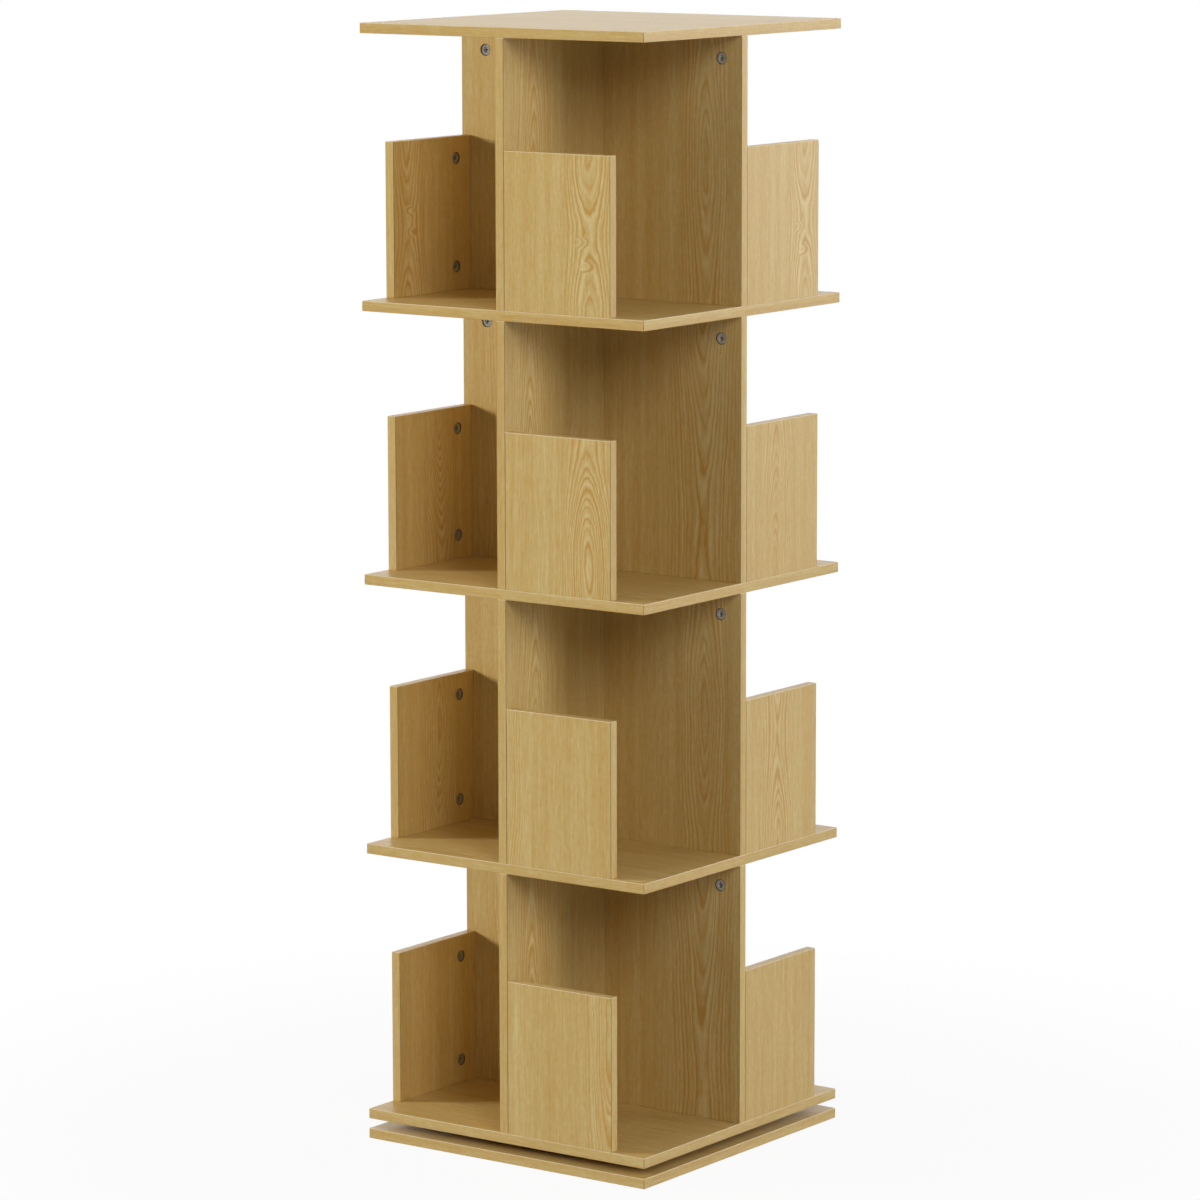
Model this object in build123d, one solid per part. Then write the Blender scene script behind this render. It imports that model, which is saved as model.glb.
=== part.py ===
from build123d import *
from math import atan, cos, degrees, pi, sqrt
import os

# Revolving bookcase: a square base board, a ball-bearing turntable and a tower of four tiers.
# Millimetres, +Z up. The origin is the centre of the base board's underside, on the turning axis.
# The front is the -Y side and the right is the +X side.

# Boards
board_side = 400.0  # every shelf, the base board and the top board are squares of this side
board_thickness = 12.0
tier_count = 4
tier_height = 309.0  # clear height from a shelf to the board above it
lap_play = 0.1  # between a divider and the slot of the one that crosses it

# Side panels, which stand on the shelf at the outer end of each divider arm
panel_length = 148.0
panel_height = 182.0

# Cam fittings: a cam disc in one board draws in a bolt that is screwed into the other
cam_diameter = 14.0
cam_sides = 10
cam_play = 0.2  # between a cam and its pocket
pocket_depth = 9.5
cam_recess = 0.6  # the cam's face lies this far below the board's face
bolt_diameter = 6.0
bolt_sides = 6
bolt_play = 0.25  # between a bolt and its bore in the side panel or divider
bolt_anchor = 9.0  # depth that a bolt is screwed into the board it draws against
panel_cam_reach = 28.0  # from a side panel's inner end to its cams
panel_cam_foot = 28.0  # from the shelf to the lower cam
panel_cam_spacing = 128.0  # from the lower cam to the upper one
divider_cam_reach = 26.4  # from a divider's upper edge to its cams
free_end_inset = 28.0  # from the arm's end to the cam, where the side panel is on the other face
panel_end_inset = 35.0  # the same, where the side panel stands on the cam's own face

# Countersunk screws that hold the dividers to the shelf below them
screw_diameter = 4.0
screw_length = 40.0
screw_head_diameter = 8.0
screw_head_height = 2.5
shelf_screw_offset = 110.0  # from the turning axis along each arm

# Turntable: two square plates with a ball groove in the race of each, a cage and its balls
turntable_height = 12.0
plate_side = 200.0
plate_thickness = 2.0
race_radius = 60.0
race_shoulder = 5.0  # from the groove's middle to the outer edge of the raised race
race_gap = 1.2  # between the two races
ball_count = 16
ball_diameter = 5.0
ball_play = 0.1  # between a ball and each groove
cage_width = 12.0
cage_thickness = 0.8
window_play = 0.2  # between a ball and its window in the cage
window_sides = 8
plate_screw_inset = 10.0  # from two edges of the plate to each corner screw
plate_screw_length = 11.0
plate_screw_head_height = 2.4
access_hole_diameter = 20.0  # in the base board, for driving the upper plate's screws from below

full_turn = 360.0
quarter_turn = full_turn / 4
half_side = board_side / 2
half_thickness = board_thickness / 2
tier_pitch = board_thickness + tier_height
cam_radius = cam_diameter / 2
cam_flat = cam_radius * cos(pi / cam_sides)  # from the cam's axis to the flat that meets the bolt
groove_depth_below_ball = ball_diameter / sqrt(2)  # a right-angled groove's bottom, from the ball's centre
plate_screw_offset = plate_side / 2 - plate_screw_inset
arm_turns = {"front": 0, "right": 1, "back": 2, "left": 3}


def tier_floor(tier):
    """Height of the shelf's upper face that carries a tier, counted from zero."""
    return board_thickness + turntable_height + board_thickness + tier * tier_pitch


def polygon(diameter, sides):
    """Regular polygon inside a circle of the given diameter, with a flat on its +X side."""
    return RegularPolygon(diameter / 2, sides, rotation=full_turn / sides / 2)


def prism(diameter, sides, length):
    """Regular prism that stands on the XY plane, with a flat on its +X side."""
    return extrude(polygon(diameter, sides), length)


def along(origin, direction, shape, side_direction=None):
    """Place a shape made along +Z so that it runs from origin along direction, its +X side as asked."""
    return Plane(origin=origin, x_dir=side_direction, z_dir=direction) * shape


def square_board(bottom):
    """Square board with its underside at the given height."""
    board = Box(board_side, board_side, board_thickness, align=(Align.CENTER, Align.CENTER, Align.MIN))
    return Pos(0, 0, bottom) * board


# Cam fittings


def cam(face_point, inward, towards_bolt):
    """Cam disc that lies just below a board's face, with a flat for the bolt's end."""
    disc = prism(cam_diameter, cam_sides, pocket_depth - cam_recess)
    start = Vector(*face_point) + Vector(*inward) * cam_recess
    return along(start, inward, disc, towards_bolt)


def cam_pocket(face_point, inward, towards_bolt):
    """Blind pocket of a cam, cut from the board's face."""
    pocket = prism(cam_diameter + 2 * cam_play, cam_sides, pocket_depth)
    return along(face_point, inward, pocket, towards_bolt)


def cam_bolt(joint_point, towards_cam, reach):
    """Bolt across a joint: screwed in behind joint_point, and touching the cam in front of it."""
    start = Vector(*joint_point) - Vector(*towards_cam) * bolt_anchor
    return along(start, towards_cam, prism(bolt_diameter, bolt_sides, bolt_anchor + reach - cam_flat))


def bolt_bore(joint_point, towards_cam, reach):
    """Bore that takes the bolt from the board's end to the cam's pocket."""
    return along(joint_point, towards_cam, prism(bolt_diameter + 2 * bolt_play, bolt_sides, reach))


# Side panels, all made as the front one and turned about the axis; heights are from the shelf


def panel_cam_heights():
    return [panel_cam_foot, panel_cam_foot + panel_cam_spacing]


def front_panel_cam_points():
    """Centres of the two cams on the front panel's inner face."""
    x = half_thickness + panel_cam_reach
    y = -half_side + board_thickness
    return [(x, y, z) for z in panel_cam_heights()]


def front_panel_joint_points():
    """Where the two bolt axes cross from the front arm into the front panel."""
    y = -half_side + half_thickness
    return [(half_thickness, y, z) for z in panel_cam_heights()]


def front_panel_cams():
    return [cam(point, (0, -1, 0), (-1, 0, 0)) for point in front_panel_cam_points()]


def front_panel_bolts():
    return [cam_bolt(point, (1, 0, 0), panel_cam_reach) for point in front_panel_joint_points()]


def front_panel():
    """Low side panel that butts against the front arm, with two pockets and two bores."""
    corner = Pos(half_thickness, -half_side, 0)
    panel = corner * Box(panel_length, board_thickness, panel_height, align=Align.MIN)
    for point in front_panel_cam_points():
        panel -= cam_pocket(point, (0, -1, 0), (-1, 0, 0))
    for point in front_panel_joint_points():
        panel -= bolt_bore(point, (1, 0, 0), panel_cam_reach)
    return panel


def turned(shape, quarter_turns):
    """Turn a shape about the bookcase's axis."""
    return Rot(0, 0, quarter_turns * quarter_turn) * shape


def all_around(shapes):
    """Copies of the front arm's shapes at all four arms."""
    return [turned(shape, turns) for turns in arm_turns.values() for shape in shapes]


# Dividers, both made as the one that runs across; the deep one is the same turned back by a quarter


def divider_cam_insets():
    """Distance along the across divider from the axis to its right and left cam."""
    return [half_side - free_end_inset, panel_end_inset - half_side]


def across_divider_cams():
    z = tier_height - divider_cam_reach
    return [cam((x, -half_thickness, z), (0, 1, 0), (0, 0, 1)) for x in divider_cam_insets()]


def across_divider_bolts():
    points = [(x, 0, tier_height) for x in divider_cam_insets()]
    return [cam_bolt(point, (0, 0, -1), divider_cam_reach) for point in points]


def across_screws():
    """Screws up through the shelf into the across divider's lower edge."""
    offsets = [-shelf_screw_offset, shelf_screw_offset]
    return [Pos(x, 0, -board_thickness) * countersunk_screw() for x in offsets]


def countersunk_screw():
    """Screw with its head's flat face on the XY plane and its shank along +Z."""
    narrowing = (screw_head_diameter - screw_diameter) / 2 * cos(pi / bolt_sides)
    head_taper = degrees(atan(narrowing / screw_head_height))
    head = extrude(polygon(screw_head_diameter, bolt_sides), screw_head_height, taper=head_taper)
    return head + prism(screw_diameter, bolt_sides, screw_length)


def across_divider(slot_from_top):
    """Full-width divider, half-slotted at the middle for the one that crosses it."""
    divider = Box(board_side, board_thickness, tier_height, align=(Align.CENTER, Align.CENTER, Align.MIN))
    slot = Box(
        board_thickness + 2 * lap_play,
        board_thickness,
        tier_height / 2 + lap_play,
        align=(Align.CENTER, Align.CENTER, Align.MIN),
    )
    slot_bottom = tier_height / 2 - lap_play if slot_from_top else 0
    divider -= Pos(0, 0, slot_bottom) * slot
    z = tier_height - divider_cam_reach
    for x in divider_cam_insets():
        divider -= cam_pocket((x, -half_thickness, z), (0, 1, 0), (0, 0, 1))
        divider -= bolt_bore((x, 0, tier_height), (0, 0, -1), divider_cam_reach)
    for screw in across_screws():
        divider -= screw
    for turns in (1, -1):
        for bolt in front_panel_bolts():
            divider -= turned(bolt, turns)
    return divider


# Shelves and boards, with the holes of what is screwed into or through them


def divider_bolts():
    """The four bolts of one tier that are screwed into the board above it."""
    bolts = across_divider_bolts()
    return bolts + [turned(bolt, -1) for bolt in bolts]


def tier_screws():
    """The four screws of one tier that pass up through its shelf."""
    screws = across_screws()
    return screws + [turned(screw, -1) for screw in screws]


def shelf(carries_turntable):
    """Shelf of one tier, with its upper face at height zero."""
    board = square_board(-board_thickness)
    for screw in tier_screws():
        board -= screw
    below = [Pos(0, 0, -tier_pitch) * bolt for bolt in divider_bolts()]
    if carries_turntable:
        shift = -tier_floor(0)
        below = [Pos(0, 0, shift) * screw for screw in upper_plate_screws()]
    for fastener in below:
        board -= fastener
    return board


def top_board():
    """Board over the highest tier, placed from that tier's shelf."""
    board = square_board(tier_height)
    for bolt in divider_bolts():
        board -= bolt
    return board


def base_board():
    """Fixed board on the floor, with the access hole for the upper plate's screws."""
    board = square_board(0)
    for screw in lower_plate_screws():
        board -= screw
    access_radius = plate_screw_offset * sqrt(2)
    access_hole = Cylinder(access_hole_diameter / 2, board_thickness)
    return board - Pos(access_radius, 0, half_thickness) * access_hole


# Turntable, modelled from the base board's upper face


def plate_screw():
    """Pan-head screw through a plate, its shank along -Z from the plate's inner face."""
    head = prism(screw_head_diameter, bolt_sides, plate_screw_head_height)
    shank = Pos(0, 0, -plate_screw_length) * prism(screw_diameter, bolt_sides, plate_screw_length)
    return head + shank


def at_plate_corners(shape):
    offsets = (-plate_screw_offset, plate_screw_offset)
    return [Pos(x, y, 0) * shape for x in offsets for y in offsets]


def lower_plate_screws():
    inner_face = board_thickness + plate_thickness
    return [Pos(0, 0, inner_face) * screw for screw in at_plate_corners(plate_screw())]


def mirrored_up(shape):
    """Mirror a part of the lower plate to its place under the bottom shelf."""
    mid_height = board_thickness + turntable_height / 2
    return mirror(shape, Plane.XY.offset(mid_height))


def upper_plate_screws():
    return [mirrored_up(screw) for screw in lower_plate_screws()]


def raised_race():
    """Raised middle of a plate, with a right-angled ball groove near its rim."""
    ball_height = turntable_height / 2
    race_top = ball_height - race_gap / 2
    groove_bottom = ball_height - groove_depth_below_ball
    groove_half_width = race_top - groove_bottom
    outline = Polyline(
        (0, 0),
        (race_radius + race_shoulder, 0),
        (race_radius + race_shoulder, race_top),
        (race_radius + groove_half_width, race_top),
        (race_radius, groove_bottom),
        (race_radius - groove_half_width, race_top),
        (0, race_top),
        close=True,
    )
    return revolve(Plane.XZ * make_face(outline), Axis.Z)


def lower_plate():
    """Pressed square plate with its raised race, screwed to the base board."""
    plate = Box(plate_side, plate_side, plate_thickness, align=(Align.CENTER, Align.CENTER, Align.MIN))
    plate = Pos(0, 0, board_thickness) * (plate + raised_race())
    for screw in lower_plate_screws():
        plate -= screw
    return plate


def around_race(shape):
    """Copies of a shape at every ball's place, turned with the race."""
    step = full_turn / ball_count
    return [Rot(0, 0, index * step) * Pos(race_radius, 0, 0) * shape for index in range(ball_count)]


def ball():
    """Ball, as a cube whose edges are cut back until every flat touches the same sphere."""
    across = ball_diameter - 2 * ball_play
    cut_back = across * (1 - 1 / sqrt(2))
    cube = Box(across, across, across)
    return chamfer(cube.edges(), cut_back)


def ball_cage():
    """Flat ring between the races, with a window for each ball."""
    ring = Cylinder(race_radius + cage_width / 2, cage_thickness)
    ring -= Cylinder(race_radius - cage_width / 2, cage_thickness)
    across_flats = ball_diameter - 2 * ball_play + 2 * window_play
    across_corners = across_flats / cos(pi / window_sides)
    window = Pos(0, 0, -cage_thickness / 2) * prism(across_corners, window_sides, cage_thickness)
    for cutter in around_race(window):
        ring -= cutter
    return at_ball_height(ring)


def at_ball_height(shape):
    return Pos(0, 0, board_thickness + turntable_height / 2) * shape


# Nodes


def turntable_nodes():
    return {
        "base_board": [base_board()],
        "turntable_lower_plate": [lower_plate()],
        "turntable_lower_screws": lower_plate_screws(),
        "turntable_ball_cage": [ball_cage()],
        "turntable_balls": [at_ball_height(shape) for shape in around_race(ball())],
        "turntable_upper_plate": [mirrored_up(lower_plate())],
        "turntable_upper_screws": upper_plate_screws(),
    }


def tier_nodes():
    """Solids of one tier above its shelf, with the shelf's upper face at height zero."""
    nodes = {
        "divider_across": [across_divider(slot_from_top=True)],
        "divider_deep": [turned(across_divider(slot_from_top=False), -1)],
        "panel_cams": all_around(front_panel_cams()),
        "panel_cam_bolts": all_around(front_panel_bolts()),
        "divider_cams": across_divider_cams() + [turned(disc, -1) for disc in across_divider_cams()],
        "divider_cam_bolts": divider_bolts(),
        "shelf_screws": tier_screws(),
    }
    panel = front_panel()
    for side, turns in arm_turns.items():
        nodes[f"side_panel_{side}"] = [turned(panel, turns)]
    return nodes


def tower_nodes():
    """All tiers, with their shelves and the top board."""
    nodes = {}
    tier_parts = tier_nodes()
    upper_shelf = shelf(carries_turntable=False)
    for tier in range(tier_count):
        place = Pos(0, 0, tier_floor(tier))
        tier_shelf = upper_shelf if tier else shelf(carries_turntable=True)
        nodes[f"shelf_tier_{tier + 1}"] = [place * tier_shelf]
        for name, solids in tier_parts.items():
            nodes[f"{name}_tier_{tier + 1}"] = [place * solid for solid in solids]
    nodes["top_board"] = [Pos(0, 0, tier_floor(tier_count - 1)) * top_board()]
    return nodes


os.makedirs("parts", exist_ok=True)
for name, solids in {**turntable_nodes(), **tower_nodes()}.items():
    node = solids[0] if len(solids) == 1 else Compound(children=solids)
    export_step(node, f"parts/{name}.step")
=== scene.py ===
"""Finishes, fittings and studio of a revolving bookcase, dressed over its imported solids.

Metres, +Z up. The origin is the middle of the base board's underside, on the turning axis.
The front is the -Y side and the right is the +X side.
"""

import logging
import math
from dataclasses import dataclass
from enum import Enum
from typing import Any, Callable, Mapping, Sequence, Union

import bmesh
import bpy
from mathutils import Matrix, Vector


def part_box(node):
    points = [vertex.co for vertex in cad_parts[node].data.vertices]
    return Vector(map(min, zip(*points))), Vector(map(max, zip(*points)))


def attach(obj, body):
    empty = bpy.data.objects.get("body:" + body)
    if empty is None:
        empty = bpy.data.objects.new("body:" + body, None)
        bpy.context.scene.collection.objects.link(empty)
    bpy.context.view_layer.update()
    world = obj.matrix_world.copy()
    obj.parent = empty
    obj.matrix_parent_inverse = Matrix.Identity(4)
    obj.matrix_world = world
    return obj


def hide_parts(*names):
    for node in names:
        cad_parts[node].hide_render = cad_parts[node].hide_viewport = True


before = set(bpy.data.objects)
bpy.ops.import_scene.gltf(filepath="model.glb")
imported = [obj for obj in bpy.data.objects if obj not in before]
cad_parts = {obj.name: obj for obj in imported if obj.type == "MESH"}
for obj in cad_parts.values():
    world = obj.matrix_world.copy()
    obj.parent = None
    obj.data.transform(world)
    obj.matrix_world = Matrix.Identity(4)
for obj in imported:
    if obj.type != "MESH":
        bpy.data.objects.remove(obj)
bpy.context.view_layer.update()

log = logging.getLogger("bookcase")

MM = 0.001
QUARTER_TURN = math.pi / 2
CREASE = math.radians(35)
Number = Union["Wire", float]
Colour = tuple[float, float, float, float]
Pair = tuple[float, float]
Profile = Sequence[Pair]
Points = Sequence[bmesh.types.BMVert]
Stops = Sequence[tuple[float, Colour]]
Socket = bpy.types.NodeSocket
Material = bpy.types.Material
Piece = bpy.types.Object
WHITE: Colour = (1.0, 1.0, 1.0, 1.0)


class Axis(Enum):
    """The three axes of the bookcase's frame."""

    X = 0
    Y = 1
    Z = 2


class Body(Enum):
    """What a piece turns with."""

    BASE = "base"
    CAGE = "ball_cage"
    TOWER = "tower"


class Slot(Enum):
    """Names of the material slots that new pieces are passed with; nothing reads them."""

    CAM = "cam_zinc"
    BOLT = "bolt_steel"
    SCREW = "screw_steel"
    BALL = "ball_steel"


def srgb(red: int, green: int, blue: int) -> Colour:
    """Turn a display colour into the linear one that shaders take.

    Args:
        red: Red from 0 to 255.
        green: Green from 0 to 255.
        blue: Blue from 0 to 255.

    Returns:
        The linear colour, opaque.
    """
    def linear(level: int) -> float:
        """Undo the display's curve for one channel."""
        share = level / 255
        return share / 12.92 if share <= 0.04045 else ((share + 0.055) / 1.055) ** 2.4

    return linear(red), linear(green), linear(blue), 1.0


# Shader arithmetic


def operation(name: str, swapped: bool = False) -> Callable[..., "Wire"]:
    """Make a method of Wire that adds a Math node.

    Args:
        name: The node's operation.
        swapped: Whether the wire comes after the other value.

    Returns:
        The method, which takes the node's other value where it has one.
    """
    def method(self: "Wire", *others: Number) -> "Wire":
        """Add the node."""
        values = (*others, self) if swapped else (self, *others)
        return self.bench.math(name, *values)

    return method


@dataclass(frozen=True)
class Wire:
    """A number that flows out of a node's socket; arithmetic on it adds Math nodes."""

    bench: "Bench"
    socket: Socket

    __add__ = operation("ADD")
    __radd__ = operation("ADD", swapped=True)
    __sub__ = operation("SUBTRACT")
    __rsub__ = operation("SUBTRACT", swapped=True)
    __mul__ = operation("MULTIPLY")
    __rmul__ = operation("MULTIPLY", swapped=True)
    __truediv__ = operation("DIVIDE")
    __abs__ = operation("ABSOLUTE")
    __gt__ = operation("GREATER_THAN")
    __lt__ = operation("LESS_THAN")
    least = operation("MINIMUM")
    most = operation("MAXIMUM")
    floor = operation("FLOOR")
    fraction = operation("FRACT")
    root = operation("SQRT")
    cosine = operation("COSINE")

    def wrapped(self, low: float, high: float) -> "Wire":
        """The value brought between low and high by whole steps."""
        return self.bench.math("WRAP", self, high, low)

    def ease(self, start: float, end: float) -> "Wire":
        """0 at start and 1 at end, with a smooth way between."""
        node = self.bench.node(
            "ShaderNodeMapRange",
            {"interpolation_type": "SMOOTHSTEP"},
            {"Value": self, "From Min": start, "From Max": end},
        )
        return Wire(self.bench, node.outputs["Result"])

    def pick(self, where_one: Number, where_zero: Number) -> "Wire":
        """Choose by this mask.

        Args:
            where_one: The value where the mask is 1.
            where_zero: The value where the mask is 0.

        Returns:
            The chosen value.
        """
        return where_zero + self * (where_one - where_zero)


class Bench:
    """The nodes of one material or world, with one method that places any of them."""

    def __init__(self, owner: Union[Material, bpy.types.World]) -> None:
        """Start with no nodes.

        Args:
            owner: The new material or world.
        """
        self.owner = owner
        owner.use_nodes = True
        self.tree = owner.node_tree
        self.tree.nodes.clear()

    def node(
        self,
        kind: str,
        settings: Mapping[str, Any] | None = None,
        inputs: Mapping[Any, Any] | None = None,
    ) -> bpy.types.Node:
        """Place a node.

        Args:
            kind: The node's type.
            settings: Its properties, set first; "stops" are a ramp's places and colours.
            inputs: Values, colours, wires or sockets by the socket's name or number.

        Returns:
            The node.
        """
        node = self.tree.nodes.new(kind)
        for key, value in (settings or {}).items():
            if key == "stops":
                self._set_stops(node.color_ramp, value)
            else:
                setattr(node, key, value)
        for key, value in (inputs or {}).items():
            self.feed(node.inputs[key], value)
        return node

    def feed(self, socket: Socket, value: Any) -> None:
        """Link a wire or socket to a socket, or set its value.

        Args:
            socket: The socket that is fed.
            value: What it gets.
        """
        if isinstance(value, Wire):
            value = value.socket
        if isinstance(value, Socket):
            self.tree.links.new(value, socket)
        else:
            socket.default_value = value

    @staticmethod
    def _set_stops(ramp: bpy.types.ColorRamp, stops: Stops) -> None:
        """Give a ramp its places and colours.

        Args:
            ramp: The ramp, new, with its two stops.
            stops: Places from 0 to 1 with their colours, in order.
        """
        while len(ramp.elements) < len(stops):
            ramp.elements.new(1.0)
        for element, (place, colour) in zip(ramp.elements, stops):
            element.position = place
            element.color = colour

    def math(self, operation: str, *values: Number) -> Wire:
        """Add a Math node.

        Args:
            operation: The node's operation.
            values: Its inputs in order.

        Returns:
            Its result.
        """
        node = self.node("ShaderNodeMath", {"operation": operation}, dict(enumerate(values)))
        return Wire(self, node.outputs[0])

    def place(self, kind: str = "Object") -> list[Wire]:
        """X, Y and Z of the surface point.

        Args:
            kind: The kind of texture coordinate.

        Returns:
            The three wires.
        """
        vector = self.node("ShaderNodeTexCoord").outputs[kind]
        split = self.node("ShaderNodeSeparateXYZ", inputs={0: vector})
        return [Wire(self, socket) for socket in split.outputs]

    def noise(self, x: Number, y: Number, z: Number, detail: float = 1.0) -> Wire:
        """Smooth noise about 0.

        Args:
            x: First coordinate, in waves.
            y: Second coordinate, in waves.
            z: Third coordinate; a constant picks one sheet of the noise.
            detail: Octaves above the first.

        Returns:
            Noise, mostly between -0.5 and 0.5.
        """
        vector = self.node("ShaderNodeCombineXYZ", inputs={0: x, 1: y, 2: z}).outputs[0]
        inputs = {"Vector": vector, "Scale": 1.0, "Detail": detail}
        return Wire(self, self.node("ShaderNodeTexNoise", inputs=inputs).outputs[0]) - 0.5

    def lot(self, value: Number) -> Wire:
        """A random number from 0 to 1 that belongs to a value."""
        node = self.node("ShaderNodeTexWhiteNoise", {"noise_dimensions": "1D"}, {"W": value})
        return Wire(self, node.outputs["Value"])

    def ramp(self, value: Wire, stops: Stops) -> Socket:
        """The colour of a value on a ramp of stops."""
        return self.node("ShaderNodeValToRGB", {"stops": stops}, {0: value}).outputs["Color"]

    def mix(self, share: Number, first: Any, second: Any) -> Socket:
        """Mix two colours.

        Args:
            share: How much of the second colour, from 0 to 1.
            first: Colour or socket.
            second: Colour or socket.

        Returns:
            The mixed colour's socket.
        """
        node = self.node("ShaderNodeMix", {"data_type": "RGBA"})
        sockets = {socket.identifier: socket for socket in node.inputs}
        self.feed(sockets["Factor_Float"], share)
        self.feed(sockets["A_Color"], first)
        self.feed(sockets["B_Color"], second)
        return next(socket for socket in node.outputs if socket.identifier == "Result_Color")

    def bump(self, height: Wire, depth: float, strength: float) -> Socket:
        """The normal of a surface with small relief.

        Args:
            height: Relief from 0 to 1.
            depth: Height of 1, in metres.
            strength: How much of it shows.

        Returns:
            The normal's socket.
        """
        inputs = {"Height": height, "Distance": depth, "Strength": strength}
        return self.node("ShaderNodeBump", inputs=inputs).outputs["Normal"]

    def coat(self, **sockets: Any) -> Material:
        """Close the material with a principled shader.

        Args:
            sockets: Its values by socket name, with _ for a space.

        Returns:
            The material.
        """
        inputs = {name.replace("_", " "): value for name, value in sockets.items()}
        shader = self.node("ShaderNodeBsdfPrincipled", inputs=inputs)
        self.node("ShaderNodeOutputMaterial", inputs={"Surface": shader.outputs[0]})
        return self.owner

    def beheld(self) -> Wire:
        """1 on rays of the camera, of reflections and of clear glass, else 0."""
        path = self.node("ShaderNodeLightPath")
        kinds = ("Camera", "Glossy", "Transmission")
        camera, glossy, clear = (Wire(self, path.outputs[f"Is {kind} Ray"]) for kind in kinds)
        return camera.most(glossy).most(clear)


# Finishes


@dataclass(frozen=True)
class Figure:
    """Where the cathedral grain runs on a board, in mm of its own across and grain directions."""

    centre: float
    crest: float
    period: float
    rise: float
    seed: float
    strength: float = 1.0
    width: float = 26.0
    waist: float = 22.0
    repeat: float = 260.0
    wild: float = 1.0
    tip: float = 9.0
    knots: tuple[Pair, ...] = ()


@dataclass(frozen=True)
class Grain:
    """How a board lies: its thickness, the grain's direction and the one across it."""

    thickness: Axis
    along: Axis
    across: Axis


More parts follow.
